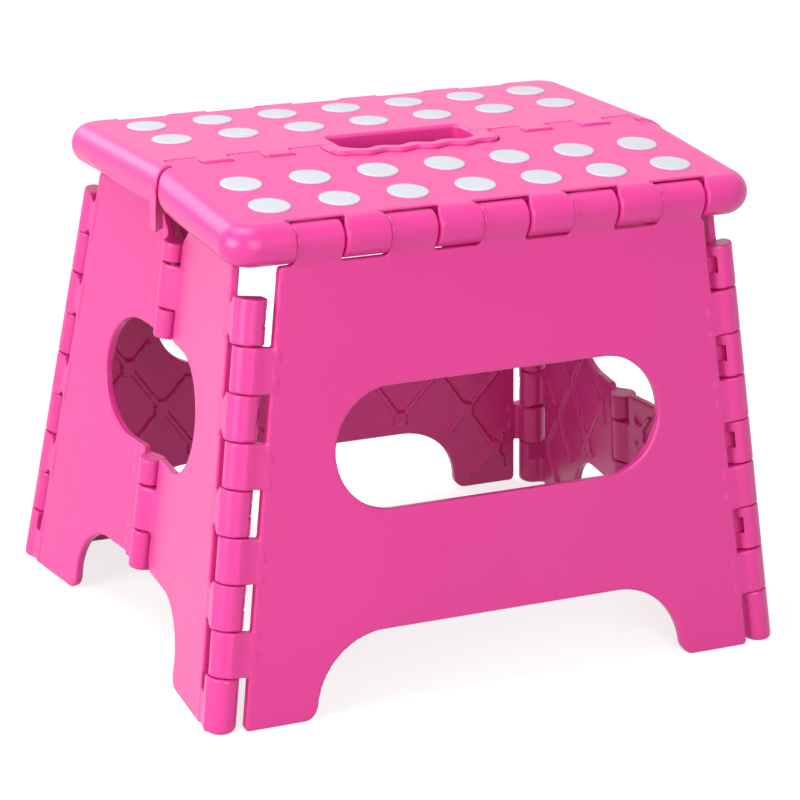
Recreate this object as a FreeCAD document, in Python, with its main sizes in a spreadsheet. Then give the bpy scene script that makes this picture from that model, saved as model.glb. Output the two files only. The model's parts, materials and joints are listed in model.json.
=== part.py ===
import FreeCAD, Part
import math
import os
import re
from types import SimpleNamespace

from FreeCAD import Placement, Rotation, Vector

# A folding step stool that stands open. X runs along the stool, -Y is its front and +Z is up.
# The origin is on the floor under the middle. Lengths are millimetres and angles are degrees.

DRIVING_SIZES = (
    ("hinge_height", 213.14, "edge hinges above the floor"),
    ("foot_half_length", 137.9, "corner hinges from the middle along X, at the floor"),
    ("foot_half_depth", 111.5, "corner hinges from the middle along Y, at the floor"),
    ("leg_splay", 7.03, "lean of each leg panel"),
    ("leg_taper", 6.48, "lean of the corner hinges in the leg's plane"),
    ("end_tuck", 6.0, "inward fold of each end half when the stool is open"),
    ("top_crown", 2.83, "rise of each top half towards the seam"),
    ("side_gap", 0.5, "gap between neighbouring knuckles"),
    ("pin_grip", 0.02, "radial clearance of a pin in the panel that carries it"),
    ("pin_fit", 0.05, "radial clearance of a pin in the panel that turns on it"),
    ("top_half_length", 131.0, "top panel from the middle along X"),
    ("top_skin", 2.8, "thickness of the top panels and their skirts"),
    ("top_rise", 9.55, "top face above the edge hinge"),
    ("rim_drop", 9.55, "lower edge of the rim below the edge hinge"),
    ("rim_reach", 9.55, "rim before the edge hinge"),
    ("rim_back", 7.5, "rim behind the edge hinge"),
    ("rim_heel", 4.0, "lower back edge of the rim"),
    ("corner_round", 15.0, "corners of the top, seen from above"),
    ("edge_knuckle_radius", 7.9, "edge hinge knuckles"),
    ("edge_knuckle_width", 23.0, "edge hinge knuckles along X"),
    ("edge_knuckle_pitch", 45.0, "edge hinge knuckles, middle to middle"),
    ("edge_knuckle_shift", 2.4, "row of edge knuckles beside the middle"),
    ("edge_notch", 7.2, "depth of the rim's notches behind its front"),
    ("edge_clearance", 0.5, "room round the edge knuckles and above the leg panel"),
    ("edge_pin_radius", 2.2, "pins of the edge hinges"),
    ("edge_pin_margin", 9.0, "ends of the edge pins from the ends of the top"),
    ("ridge_depth", 18.5, "ridge hinge below the top face"),
    ("ridge_knuckle_radius", 6.0, "ridge hinge knuckles"),
    ("ridge_pin_radius", 1.8, "pins of the ridge hinge"),
    ("finger_start", 43.5, "first seam finger from the middle"),
    ("finger_margin", 11.5, "end of the seam fingers from the end of the top"),
    ("front_reach", 0.9, "front fingers past the seam's middle"),
    ("rear_reach", 7.0, "rear fingers past the seam's middle"),
    ("seam_gap", 0.8, "gap along the seam"),
    ("handle_half_length", 34.0, "hand hole from the middle along X"),
    ("handle_back", 15.5, "hand hole behind the seam's middle"),
    ("handle_front", 8.5, "hand hole before the seam's middle"),
    ("bar_reach", 16.5, "front of the handle bar before the seam's middle"),
    ("bar_depth", 12.0, "handle bar below the top face"),
    ("handle_wall", 4.0, "wall behind the hand hole"),
    ("skirt_relief_run", 26.0, "length of the cut under the front skirt's end"),
    ("skirt_relief_rise", 11.0, "height of the cut under the front skirt's end"),
    ("ear_drop", 30.0, "lowest point of the rear skirt's ear below the top face"),
    ("ear_front", 2.3, "ear before the seam's middle"),
    ("ear_toe", 4.3, "ear's width at its lowest point"),
    ("ear_root", 30.3, "ear's width where it meets the skirt"),
    ("ear_height", 13.0, "height of the ear's slope"),
    ("dot_radius", 9.28, "grip dots"),
    ("dot_pitch", 33.4, "grip dots along X"),
    ("dot_near_row", 39.2, "first row of dots from the seam"),
    ("dot_far_row", 69.6, "second row of dots from the seam"),
    ("dot_seat", 0.8, "dots let into the top face"),
    ("dot_stand", 0.6, "dots above the top face"),
    ("dot_fit", 0.05, "room round each dot in its seat"),
    ("leg_wall", 4.4, "thickness of the leg panels"),
    ("leg_face", 3.3, "outer face of the leg panels before the edge hinge"),
    ("slot_half_length", 81.2, "slot of each leg panel from the middle along X"),
    ("slot_radius", 28.0, "ends of the leg slot"),
    ("slot_drop", 95.2, "middle of the leg slot below the edge hinge"),
    ("leg_arch_half_width", 93.2, "arch between the feet of a leg panel"),
    ("leg_arch_height", 36.5, "top of that arch above the feet"),
    ("leg_arch_round", 28.0, "corners of that arch"),
    ("corner_radius", 6.9, "corner hinge knuckles"),
    ("corner_clearance", 2.3, "panel edges clear of the corner knuckles"),
    ("corner_knuckle", 21.0, "corner knuckles along their hinge"),
    ("foot_knuckle", 24.7, "lowest corner knuckle along its hinge"),
    ("corner_pin_radius", 2.0, "pins of the corner hinges"),
    ("corner_pin_start", 5.0, "lower end of the corner pins above the floor"),
    ("corner_cap", 3.0, "closed upper end of the corner hinges"),
    ("end_wall", 4.0, "thickness of the end panels"),
    ("end_top", 202.0, "upper edge of the end panels above the floor"),
    ("end_hole_half_width", 52.0, "hole of an end from its centre hinge"),
    ("end_hole_radius", 28.0, "ends of that hole"),
    ("end_hole_height", 117.7, "middle of that hole along the centre hinge"),
    ("end_arch_half_width", 60.0, "arch between the feet of an end"),
    ("end_arch_height", 35.6, "top of that arch along the centre hinge"),
    ("end_arch_round", 26.0, "corners of that arch"),
    ("end_bevel_start", 7.0, "bevel of an end half's top corner from the centre hinge"),
    ("end_bevel_foot", 190.5, "lower end of that bevel along the centre hinge"),
    ("end_bevel_slope", 0.92, "run of that bevel for each millimetre of its height"),
    ("centre_radius", 6.0, "centre hinge knuckles"),
    ("centre_clearance", 2.4, "panel edges clear of the centre knuckles"),
    ("centre_gap", 1.0, "gap between neighbouring centre knuckles"),
    ("centre_pin_radius", 1.4, "pins of the centre hinges"),
    ("centre_play", 2.6, "radial play of the centre pins in the front halves"),
    ("centre_pin_inset", 1.0, "pin ends inside the outer centre knuckles"),
    ("lower_hinge_low", 33.4, "lower centre knuckles, their lower end along the centre hinge"),
    ("lower_hinge_gap", 1.9, "their upper end below the hole of the end"),
    ("lower_first_share", 0.357, "part of their length in the first knuckle, on the rear half"),
    ("lower_second_share", 0.403, "part of their length in the second knuckle, on the front half"),
    ("upper_hinge_lap", 0.8, "upper centre knuckles, their lower end below the top of the hole"),
    ("upper_hinge_high", 191.0, "their upper end along the centre hinge"),
    ("upper_first_share", 0.315, "part of their length in the first knuckle, on the rear half"),
    ("upper_second_share", 0.466, "part of their length in the second knuckle, on the front half"),
)

EDGE_KNUCKLE_COUNT = 5
CORNER_KNUCKLE_COUNT = 8
SEAM_FINGER_COUNT = 5
DOT_COLUMN_COUNT = 7
# A cutting tool runs this far past what it cuts, and a joined piece this far into its neighbour.
OVERRUN = 60.0
BITE = 0.5
FAR = 400.0
SLIVER = 0.01

given = SimpleNamespace(**{name: number for name, number, meaning in DRIVING_SIZES})
splay = math.radians(given.leg_splay)
crown = math.radians(given.top_crown)

# The leg's own frame has its origin on the edge hinge, its outer face at -Y and its foot at -Z.
corner_offset = given.corner_radius - given.leg_face
leg_length = (given.hinge_height - corner_offset * math.sin(splay)) / math.cos(splay)
hinge_half_depth = given.foot_half_depth + corner_offset * math.cos(splay) - leg_length * math.sin(splay)

# The rim has a round nose, as high as the rim itself.
nose_radius = (given.top_rise + given.rim_drop) / 2
nose_height = (given.top_rise - given.rim_drop) / 2
nose_swing = math.hypot(nose_radius - given.rim_reach, nose_height) + nose_radius

# The top half's own frame has its origin on the edge hinge and +Y towards the seam.
seam = (hinge_half_depth + given.top_rise * math.sin(crown)) / math.cos(crown)
ridge_height = given.top_rise - given.ridge_depth
ridge_place = (hinge_half_depth + ridge_height * math.sin(crown)) / math.cos(crown)
finger_end = given.top_half_length - given.finger_margin

# The centre hinges of an end stand below and above its hole.
lower_hinge_high = given.end_hole_height - given.end_hole_radius - given.lower_hinge_gap
upper_hinge_low = given.end_hole_height + given.end_hole_radius - given.upper_hinge_lap

WORKED_OUT_SIZES = (
    ("leg_length", leg_length, "edge hinge to the floor along the leg"),
    ("nose_radius", nose_radius, "round nose of the rim and of the ends of the top"),
    ("nose_height", nose_height, "middle of that nose above the edge hinge"),
    ("leg_top", nose_swing + given.edge_clearance, "leg panel below the edge hinge"),
    ("corner_offset", corner_offset, "corner hinge behind the edge hinge"),
    ("corner_edge", given.corner_radius + given.corner_clearance, "panel edges from the corner hinge"),
    ("centre_edge", given.centre_radius + given.centre_clearance, "panel edges from the centre hinge"),
    ("seam", seam, "seam's middle from the edge hinge, along the top face"),
    ("ridge_place", ridge_place, "ridge hinge from the edge hinge, along the top face"),
    ("ridge_height", ridge_height, "ridge hinge above the edge hinge, square to the top face"),
    ("finger_end", finger_end, "end of the seam fingers"),
    ("finger_width", (finger_end - given.finger_start) / SEAM_FINGER_COUNT, "seam fingers along X"),
    ("lower_hinge_high", lower_hinge_high, "lower centre knuckles, their upper end"),
    ("upper_hinge_low", upper_hinge_low, "upper centre knuckles, their lower end"),
)

doc = FreeCAD.newDocument("folding_step_stool")
sheet = doc.addObject("Spreadsheet::Sheet", "Sizes")
aliases = set()
for row, (name, number, meaning) in enumerate(DRIVING_SIZES + WORKED_OUT_SIZES, start=1):
    sheet.set(f"A{row}", meaning)
    sheet.set(f"B{row}", f"{number:.9f}")
    sheet.setAlias(f"B{row}", name)
    aliases.add(name)
doc.recompute()

X_AXIS = Vector(1, 0, 0)
Y_AXIS = Vector(0, 1, 0)
Z_AXIS = Vector(0, 0, 1)
ALONG = {"x": Rotation(Y_AXIS, 90), "y": Rotation(X_AXIS, -90), "z": Rotation()}


def formula(text):
    """An expression on the sheet, in which each alias is read from its cell."""
    return re.sub(r"[a-z_]+", lambda word: "Sizes." + word[0] if word[0] in aliases else word[0], str(text))


def place_at(piece, places):
    """Bind the three coordinates of a piece's own corner or base."""
    for axis, place in zip("xyz", places):
        piece.setExpression(f"Placement.Base.{axis}", formula(place))


def box(name, x, y, z):
    """A box between a low and a high place on each axis."""
    made = doc.addObject("Part::Box", name)
    for side, (low, high) in zip(("Length", "Width", "Height"), (x, y, z)):
        made.setExpression(side, formula(f"({high}) - ({low})"))
    place_at(made, (x[0], y[0], z[0]))
    return made


def rod(name, radius, axis, run, across):
    """A cylinder along one axis, with its place on the other two axes."""
    made = doc.addObject("Part::Cylinder", name)
    made.setExpression("Radius", formula(radius))
    made.setExpression("Height", formula(f"({run[1]}) - ({run[0]})"))
    made.Placement = Placement(Vector(), ALONG[axis])
    places = list(across)
    places.insert("xyz".index(axis), run[0])
    place_at(made, places)
    return made


def wedge(name, axis, low, high, run, height):
    """A block along X or Y whose width on the other of the two changes evenly from low to high."""
    made = doc.addObject("Part::Wedge", name)
    turned = run if axis == "x" else (f"-({run[1]})", f"-({run[0]})")
    cells = ("Xmin", "Xmax", "X2min", "X2max", "Ymin", "Ymax", "Zmin", "Zmax", "Z2min", "Z2max")
    for cell, place in zip(cells, (*low, *high, *height, *turned, *turned)):
        made.setExpression(cell, formula(place))
    rotation = Rotation(Vector(1, 1, 1), 120) if axis == "x" else Rotation(X_AXIS, 90)
    made.Placement = Placement(Vector(), rotation)
    return made


def joined(name, pieces, frame=Placement()):
    """Pieces made into one and then put in a frame. A single piece is only put in the frame."""
    if len(pieces) > 1:
        made = doc.addObject("Part::MultiFuse", name)
        made.Shapes = pieces
    else:
        made = doc.addObject("Part::Compound", name)
        made.Links = pieces
    made.Placement = frame
    return made


def cut(name, base, tools, frame=Placement()):
    """A base less its tools, and then put in a frame."""
    made = doc.addObject("Part::Cut", name)
    made.Base = base
    made.Tool = joined(name + "_tools", tools)
    made.Placement = frame
    return made


def mirrored(name, source, normal):
    """The mirror image of a piece through the origin."""
    made = doc.addObject("Part::Mirroring", name)
    made.Source = source
    made.Normal = normal
    return made


def slot_tools(name, half_length, radius, height, y):
    """A long hole along X with round ends."""
    straight = f"({half_length} - {radius})"
    middle_height = (f"{height} - {radius}", f"{height} + {radius}")
    tools = [box(name + "_middle", (f"-{straight}", straight), y, middle_height)]
    for sign in "-+":
        tools.append(rod(name + "_end", radius, "y", y, (f"{sign}{straight}", height)))
    return tools


def arch_tools(name, half_width, top, radius, y):
    """An opening from below with two round upper corners."""
    inner = f"({half_width} - {radius})"
    shoulder = f"({top} - {radius})"
    tools = [
        box(name + "_foot", (f"-{half_width}", half_width), y, (f"{shoulder} - {OVERRUN}", shoulder)),
        box(name + "_crown", (f"-{inner}", inner), y, (f"{shoulder} - {OVERRUN}", top)),
    ]
    for sign in "-+":
        tools.append(rod(name + "_shoulder", radius, "y", y, (f"{sign}{inner}", shoulder)))
    return tools


def edge_knuckle_middles():
    """Places of the edge knuckles along X, evenly spaced about a place beside the middle."""
    steps = [index - (EDGE_KNUCKLE_COUNT - 1) / 2 for index in range(EDGE_KNUCKLE_COUNT)]
    return [f"edge_knuckle_shift + {step} * edge_knuckle_pitch" for step in steps]


# Frames, each from its own place on the open stool.

half_turn = Placement(Vector(), Rotation(Z_AXIS, 180))
front_hinge = Vector(0, -hinge_half_depth, given.hinge_height)
leg_frame = Placement(front_hinge, Rotation(X_AXIS, -given.leg_splay))
top_frame = Placement(front_hinge, Rotation(X_AXIS, given.top_crown))
leg_corner_frame = Placement(
    Vector(-given.foot_half_length, corner_offset, -leg_length), Rotation(Y_AXIS, given.leg_taper))
corner_frame = leg_frame.multiply(leg_corner_frame)

# The end half's frame has Z up the corner hinge, X towards the centre hinge and Y outwards.
upright = corner_frame.Rotation.multVec(Z_AXIS)
level = Y_AXIS.sub(upright * upright.dot(Y_AXIS))
inward = Rotation(upright, -given.end_tuck).multVec(level.normalize())
outward = upright.cross(inward)
end_frame = Placement(corner_frame.Base, Rotation(inward, outward, upright, "ZXY"))


def centre_point(height):
    """Where the end half's outer face meets the middle plane, in the end half's frame."""
    start = end_frame.Base.add(outward * given.corner_radius)
    rise = height - start.z
    scale = inward.y * upright.z - inward.z * upright.y
    across = (-start.y * upright.z - rise * upright.y) / scale
    along = (inward.y * rise + inward.z * start.y) / scale
    return Vector(across, given.corner_radius, along)


centre_low = centre_point(0)
centre_high = centre_point(given.hinge_height)
centre_lean = math.degrees(math.atan2(centre_low.x - centre_high.x, centre_high.z - centre_low.z))
centre_frame = Placement(centre_low, Rotation(Y_AXIS, -centre_lean))

floor_cut = box("floor_cut", (-FAR, FAR), (-FAR, FAR), (-2 * OVERRUN, 0))
above_ends = box("above_ends", (-FAR, FAR), (-FAR, FAR), ("end_top", f"end_top + {2 * OVERRUN}"))


def corner_stations(first):
    """The run of every second corner knuckle, counted up from the foot knuckle."""
    stations = []
    for index in range(first, CORNER_KNUCKLE_COUNT, 2):
        start = f"foot_knuckle + {index} * corner_knuckle"
        stations.append((f"{start} + side_gap / 2", f"{start} + corner_knuckle - side_gap / 2"))
    return stations


def knuckles(name, radius, stations, reach, wall):
    """Knuckles on a hinge along Z, each with the strap that joins it to its panel."""
    pieces = []
    for run in stations:
        pieces.append(rod(name + "_knuckle", radius, "z", run, (0, 0)))
        pieces.append(box(name + "_strap", reach, wall, run))
    return pieces


corner_bore_end = f"(foot_knuckle + {CORNER_KNUCKLE_COUNT} * corner_knuckle - corner_cap)"
corner_bore_run = ("corner_pin_start", corner_bore_end)


def leg(label, frame):
    """A leg panel with a slot, an arch, five edge knuckles and four knuckles on each corner hinge."""
    through = (-OVERRUN, OVERRUN)
    wall = ("-leg_face", "leg_wall - leg_face")
    plate = box(label + "_plate", ("-foot_half_length", "foot_half_length"), wall,
                (f"-leg_length - {OVERRUN}", "-leg_top"))
    whole_height = (-OVERRUN, f"leg_length + {OVERRUN}")
    edge = box(label + "_edge", (-OVERRUN, "corner_edge"), through, whole_height)
    trim = joined(label + "_trim", [edge], leg_corner_frame)
    openings = slot_tools(label + "_slot", "slot_half_length", "slot_radius", "(-slot_drop)", through)
    openings += arch_tools(
        label + "_arch", "leg_arch_half_width", "(leg_arch_height - leg_length)", "leg_arch_round", through)
    panel = cut(label + "_panel", plate, [trim, mirrored(label + "_trim_right", trim, X_AXIS)] + openings)

    corner_wall = ("-corner_radius", "leg_wall - corner_radius")
    corner_reach = (0, f"corner_edge + {BITE}")
    stations = corner_stations(0)
    corner_pieces = knuckles(label + "_corner", "corner_radius", stations, corner_reach, corner_wall)
    corner = joined(label + "_corner", corner_pieces, leg_corner_frame)
    pieces = [panel, corner, mirrored(label + "_corner_right", corner, X_AXIS)]
    for middle in edge_knuckle_middles():
        run = (f"{middle} - edge_knuckle_width / 2", f"{middle} + edge_knuckle_width / 2")
        pieces.append(rod(label + "_edge_knuckle", "edge_knuckle_radius", "x", run, (0, 0)))
        pieces.append(box(label + "_edge_strap", run, wall, (f"-leg_top - {BITE}", 0)))

    corner_bore = joined(label + "_corner_bore", [
        rod(label + "_bore", "corner_pin_radius + pin_grip", "z", corner_bore_run, (0, 0))], leg_corner_frame)
    edge_run = ("-top_half_length", "top_half_length")
    bores = [
        rod(label + "_edge_bore", "edge_pin_radius + pin_fit", "x", edge_run, (0, 0)),
        corner_bore,
        mirrored(label + "_corner_bore_right", corner_bore, X_AXIS),
    ]
    whole = cut(label + "_whole", joined(label + "_solid", pieces), bores, frame)
    return cut(label, whole, [floor_cut])


def rim_pieces(label):
    """The rim along the edge hinge: a bar with a round nose and a small round on its lower back edge."""
    run = ("-top_half_length", "top_half_length")
    nose = "(nose_radius - rim_reach)"
    shoulder = "(rim_heel - rim_drop)"
    return [
        rod(label + "_rim_nose", "nose_radius", "x", run, (nose, "nose_height")),
        box(label + "_rim_body", run, (nose, "rim_back"), (shoulder, "top_rise")),
        box(label + "_rim_sole", run, (nose, "rim_back - rim_heel"), ("-rim_drop", shoulder)),
        rod(label + "_rim_heel", "rim_heel", "x", run, ("rim_back - rim_heel", shoulder)),
    ]


def plan(label):
    """The outline of a top half from above, with its two outer corners rounded."""
    front = "-rim_reach"
    height = (-OVERRUN, OVERRUN)
    inner = "(top_half_length - corner_round)"
    pieces = [
        box(label + "_plan_back", ("-top_half_length", "top_half_length"),
            (f"{front} + corner_round", f"seam + {OVERRUN}"), height),
        box(label + "_plan_front", (f"-{inner}", inner), (front, f"seam + {OVERRUN}"), height),
    ]
    for sign in "-+":
        pieces.append(rod(label + "_plan_corner", "corner_round", "z", height,
                          (f"{sign}{inner}", f"{front} + corner_round")))
    return joined(label + "_plan", pieces)


def round_ends(label):
    """The outline of a top half from its front, with a round nose at each end."""
    inner = "(top_half_length - nose_radius)"
    run = (-FAR, FAR)
    pieces = [box(label + "_between_ends", (f"-{inner}", inner), run, (-OVERRUN, OVERRUN))]
    for sign in "-+":
        pieces.append(rod(label + "_end_nose", "nose_radius", "y", run, (f"{sign}{inner}", "nose_height")))
    return joined(label + "_round_ends", pieces)


def hollow_tools(label):
    """The hollow under a top half, which leaves its skin and a skirt with a round nose at each end."""
    inner = "(top_half_length - nose_radius)"
    run = ("rim_back", f"seam + {OVERRUN}")
    tools = [box(label + "_hollow", (f"-{inner}", inner), run, (-OVERRUN, "top_rise - top_skin"))]
    for sign in "-+":
        tools.append(rod(label + "_end_hollow", "nose_radius - top_skin", "y", run,
                         (f"{sign}{inner}", "nose_height")))
    return tools


def finger_run(index):
    """The run of one seam finger along X, on the right of the middle."""
    start = f"finger_start + {index} * finger_width"
    return (f"{start} + side_gap / 2", f"{start} + finger_width - side_gap / 2")


def both_sides(run):
    """A run along X on the right of the middle, and its mirror image."""
    return (run, (f"-({run[1]})", f"-({run[0]})"))


def fingers(label, indexes, root, tip):
    """Seam fingers of a top half, each a piece of the top skin over a knuckle of the ridge hinge."""
    pieces = []
    for index in indexes:
        for run in both_sides(finger_run(index)):
            pieces.append(box(label + "_finger", run, (root, tip), ("top_rise - top_skin", "top_rise")))
            pieces.append(box(label + "_web", run, ("ridge_place - ridge_knuckle_radius", "ridge_place"),
                              ("ridge_height", f"top_rise - top_skin + {BITE}")))
            pieces.append(rod(label + "_ridge_knuckle", "ridge_knuckle_radius", "x", run,
                              ("ridge_place", "ridge_height")))
    return pieces


def dot_places():
    """Places of the grip dots on a top half, in its own frame."""
    places = []
    for row in (given.dot_near_row, given.dot_far_row):
        for column in range(DOT_COLUMN_COUNT):
            x = (column - (DOT_COLUMN_COUNT - 1) / 2) * given.dot_pitch
            places.append(Vector(x, seam - row, given.top_rise - given.dot_seat))
    return places


def top_half(label, frame, slabs, inside, hollows, ridge_fit):
    """A top half: rim and slabs, rounded and hollowed, and its inside pieces, less notches, bores and seats."""
    rounded = doc.addObject("Part::MultiCommon", label + "_rounded")
    rounded.Shapes = [joined(label + "_block", rim_pieces(label) + slabs), plan(label), round_ends(label)]
    shell = cut(label + "_shell", rounded, hollow_tools(label))
    solid = joined(label + "_solid", [shell] + inside)
    tools = list(hollows)
    room = "(edge_knuckle_radius + edge_clearance)"
    for middle in edge_knuckle_middles():
        half = "(edge_knuckle_width / 2 + side_gap)"
        run = (f"{middle} - {half}", f"{middle} + {half}")
        tools += [
            box(label + "_notch", run, (-OVERRUN, "edge_notch - rim_reach"), (-OVERRUN, OVERRUN)),
            box(label + "_pit", run, (-OVERRUN, room), (-OVERRUN, 0)),
            box(label + "_swing", run, (-OVERRUN, 0), (-OVERRUN, room)),
            rod(label + "_cup", room, "x", run, (0, 0)),
        ]
    pin_end = "(top_half_length - edge_pin_margin + side_gap)"
    pin_run = (f"-{pin_end}", pin_end)
    tools.append(rod(label + "_edge_bore", "edge_pin_radius + pin_grip", "x", pin_run, (0, 0)))
    for run in both_sides(("finger_start", "finger_end")):
        tools.append(rod(label + "_ridge_bore", f"ridge_pin_radius + {ridge_fit}", "x", run,
                         ("ridge_place", "ridge_height")))
    for place in dot_places():
        tools.append(rod(label + "_dot_seat", "dot_radius + dot_fit", "z",
                         ("top_rise - dot_seat", f"top_rise + {OVERRUN}"), (place.x, place.y)))
    return cut(label, solid, tools, frame)


def slab(label, edge):
    """The block of a top half from the rim to an edge near the seam, before it is rounded and hollowed."""
    length = ("-top_half_length", "top_half_length")
    return box(label + "_slab", length, (0, edge), ("-rim_drop", "top_rise"))


def front_top(label):
    """The front half of the top, with six seam fingers and a notch for the handle bar."""
    edge = "(seam - rear_reach - seam_gap)"
    inside = fingers(label, range(0, SEAM_FINGER_COUNT, 2), f"{edge} - {BITE}", "seam + front_reach")
    bar_notch = box(label + "_bar_notch", ("-finger_start", "finger_start"),
                    ("seam - bar_reach - seam_gap", f"seam + {OVERRUN}"), (-OVERRUN, OVERRUN))
    hollows = [bar_notch]
    for run in both_sides(("finger_end", f"top_half_length + {OVERRUN}")):
        hollows.append(wedge(
            label + "_skirt_relief", "x", (f"{edge} - skirt_relief_run", f"{edge} + {BITE}"),
            (edge, f"{edge} + {BITE}"), run, (f"-rim_drop - {SLIVER}", "skirt_relief_rise - rim_drop")))
    return top_half(label, top_frame, [slab(label, edge)], inside, hollows, "pin_grip")


def rear_top(label):
    """The rear half of the top, with four seam fingers, two ears and the handle."""
    edge = "(seam - front_reach - seam_gap)"
    bar = "(finger_start - side_gap)"
    slabs = [slab(label, edge)]
    for run in both_sides(("finger_end + side_gap / 2", "top_half_length")):
        slabs.append(box(label + "_seam_end", run, (f"{edge} - {BITE}", "seam + rear_reach"),
                         ("top_rise - top_skin", "top_rise")))
    for run in both_sides(("top_half_length - nose_radius", "top_half_length")):
        slabs.append(box(label + "_skirt_end", run, (f"{edge} - {BITE}", "seam + ear_front"),
                         ("-rim_drop", "top_rise")))
    inside = fingers(label, range(1, SEAM_FINGER_COUNT, 2), f"{edge} - {BITE}", "seam + rear_reach")
    handle_run = ("seam - handle_back - handle_wall", "seam + bar_reach")
    inside.append(box(label + "_handle", (f"-{bar}", bar), handle_run, ("top_rise - bar_depth", "top_rise")))
    ear_foot = "(top_rise - ear_drop)"
    ear_start = "top_half_length - nose_radius"
    for run in both_sides((ear_start, f"{ear_start} + top_skin")):
        inside.append(wedge(
            label + "_ear", "x", ("seam + ear_front - ear_toe", "seam + ear_front"),
            ("seam + ear_front - ear_root", "seam + ear_front"), run, (ear_foot, f"{ear_foot} + ear_height")))
    hand_hole = box(label + "_hand_hole", ("-handle_half_length", "handle_half_length"),
                    ("seam - handle_back", "seam + handle_front"), (-OVERRUN, OVERRUN))
    return top_half(label, half_turn.multiply(top_frame), slabs, inside, [hand_hole], "pin_fit")


def hinge_stations(name):
    """The three knuckle runs of one centre hinge, lowest first."""
    length = f"({name}_hinge_high - {name}_hinge_low)"
    first_end = f"{name}_hinge_low + {name}_first_share * {length}"
    second_end = f"{first_end} + {name}_second_share * {length}"
    ends = (f"{name}_hinge_low", first_end, second_end, f"{name}_hinge_high")
    return [(f"{low} + centre_gap / 2", f"{high} - centre_gap / 2") for low, high in zip(ends, ends[1:])]


def end_half(label, which, pin_bore):
    """A left end half as it stands at the front, with its own centre knuckles and their bore."""
    wall = ("corner_radius - end_wall", "corner_radius")
    through = (-OVERRUN, OVERRUN)
    far_edge = f"foot_half_depth + {OVERRUN}"
    whole_height = (-OVERRUN, f"leg_length + {OVERRUN}")
    plate = box(label + "_plate", ("corner_edge", far_edge), wall, whole_height)
    openings = [box(label + "_edge", ("-centre_edge", far_edge), through, whole_height)]
    openings += slot_tools(
        label + "_hole", "end_hole_half_width", "end_hole_radius", "end_hole_height", through)
    openings += arch_tools(
        label + "_arch", "end_arch_half_width", "end_arch_height", "end_arch_round", through)
    bevel_height = f"({OVERRUN})"
    openings.append(wedge(
        label + "_bevel", "y", ("-end_bevel_start", OVERRUN),
        (f"-end_bevel_start - end_bevel_slope * {bevel_height}", OVERRUN), through,
        ("end_bevel_foot", f"end_bevel_foot + {bevel_height}")))
    panel = cut(label + "_panel", plate, [joined(label + "_openings", openings, centre_frame)])

    own = [hinge_stations(name)[index] for name in ("lower", "upper") for index in which]
    centre_reach = (f"-centre_edge - {BITE}", 0)
    centre_pieces = knuckles(label + "_centre", "centre_radius", own, centre_reach, ("-end_wall", 0))
    centre = joined(label + "_centre", centre_pieces, centre_frame)
    foot = (-OVERRUN, "foot_knuckle - side_gap / 2")
    corner_reach = (0, f"corner_edge + {BITE}")
    corner = knuckles(label + "_corner", "corner_radius", [foot] + corner_stations(1), corner_reach, wall)
    centre_bore = rod(label + "_bore", f"centre_pin_radius + {pin_bore}", "z", (0, "leg_length"), (0, 0))
    bores = [
        rod(label + "_corner_bore", "corner_pin_radius + pin_fit", "z", corner_bore_run, (0, 0)),
        joined(label + "_centre_bore", [centre_bore], centre_frame),
    ]
    solid = joined(label + "_solid", [panel, centre] + corner)
    whole = cut(label + "_whole", solid, bores, end_frame)
    return cut(label, whole, [floor_cut, above_ends])


def pin(label, radius, length, frame):
    """A round pin or disc along the Z axis of its frame."""
    made = doc.addObject("Part::Cylinder", label)
    made.setExpression("Radius", formula(radius))
    made.setExpression("Height", formula(length))
    made.Placement = frame
    return made


def raised(frame, x=0.0, y=0.0, z=0.0):
    """A frame moved along its own axes."""
    return frame.multiply(Placement(Vector(x, y, z), Rotation()))


def lying(frame, x, y, z):
    """A frame moved along its own axes and turned so that its Z runs along its old X."""
    return frame.multiply(Placement(Vector(x, y, z), ALONG["x"]))


def opposite(frame, sign_x, sign_y):
    """A corner's or an end's frame on another side of the stool, with Z still up its hinge."""
    base = Vector(frame.Base.x * sign_x, frame.Base.y * sign_y, frame.Base.z)
    up = frame.Rotation.multVec(Z_AXIS)
    return Placement(base, Rotation(Z_AXIS, Vector(up.x * sign_x, up.y * sign_y, up.z)))


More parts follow.
